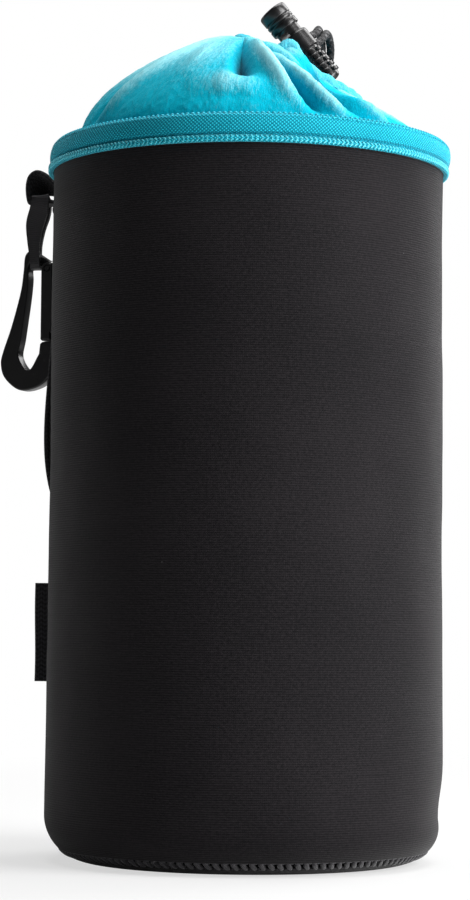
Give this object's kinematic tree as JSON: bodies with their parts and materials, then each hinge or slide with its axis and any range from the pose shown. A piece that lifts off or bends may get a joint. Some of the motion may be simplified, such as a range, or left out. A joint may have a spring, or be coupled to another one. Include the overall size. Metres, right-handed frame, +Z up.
{
  "type": "lens pouch",
  "caption": "Round padded neoprene pouch with a fleece lining, a bound rim, a gathered drawcord collar with a cord lock, a belt strap and a snap hook.",
  "frame": {"origin": "middle of the flat bottom of the pouch, on the surface that it stands on", "axes": "+Z up along the pouch's axis; the front faces -Y; the belt strap and the hook are on the -X side, towards the back"},
  "size_m": [0.1275, 0.1154, 0.2408],
  "materials": {
    "neoprene": "matte ribbed jersey",
    "fleece": "soft pile",
    "binding": "knitted tape",
    "bright_thread": "thread",
    "dark_thread": "thread",
    "webbing": "woven webbing",
    "ribbon": "smooth tape",
    "cord": "braided cord",
    "lock_plastic": "moulded, satin",
    "hook_metal": "black, satin",
    "steel": "plain"
  },
  "bodies": {
    "root": {"neoprene_wall": "neoprene", "base_panel": "neoprene", "base_seam_thread": "dark_thread", "wall_lining": "fleece", "base_lining": "fleece", "rim_binding": "binding", "binding_thread": "bright_thread", "fleece_collar": "fleece", "drawcord_loop": "cord", "drawcord_tail_upper": "cord", "drawcord_tail_lower": "cord", "cord_knot": "cord", "belt_strap": "webbing", "strap_bartack_top": "dark_thread", "strap_bartack_bottom": "dark_thread", "hanger_loop": "webbing", "hanger_bartack": "dark_thread", "side_tag": "webbing"},
    "cord_lock": {"lock_barrel": "lock_plastic", "lock_spring": "steel"},
    "lock_button": {"lock_plunger": "lock_plastic"},
    "ribbon": {"hook_ribbon": "ribbon"},
    "hook": {"hook_body": "hook_metal", "gate_pin": "steel", "gate_spring": "steel"},
    "gate": {"hook_gate": "hook_metal"}
  },
  "joints": [
    {"name": "lock_slide", "type": "slide", "parent": "root", "child": "cord_lock", "axis": [0.4924, 0.766, 0.4132], "range_m": [0, 0.007]},
    {"name": "button_press", "type": "slide", "parent": "cord_lock", "child": "lock_button", "axis": [0.6428, 0, -0.766], "range_m": [0, 0.0022], "stiffness_N_per_m": 400, "springref_m": -0.003, "deforming": ["lock_spring"]},
    {"name": "ribbon_swing", "type": "hinge", "parent": "root", "child": "ribbon", "pos_m": [-0.05878, 0.02375, 0.18653], "axis": [-0.9272, 0.3746, 0], "range_deg": [-35, 35], "deforming": ["hook_ribbon"]},
    {"name": "hook_lift", "type": "hinge", "parent": "ribbon", "child": "hook", "pos_m": [-0.06095, 0.02463, 0.16784], "axis": [0.3746, 0.9272, 0], "range_deg": [0, 70]},
    {"name": "gate_open", "type": "hinge", "parent": "hook", "child": "gate", "pos_m": [-0.05721, 0.02311, 0.16742], "axis": [0.3746, 0.9272, 0], "range_deg": [0, 14], "stiffness_Nm_per_rad": 0.005, "springref_deg": -17.19, "deforming": ["gate_spring"]}
  ]
}
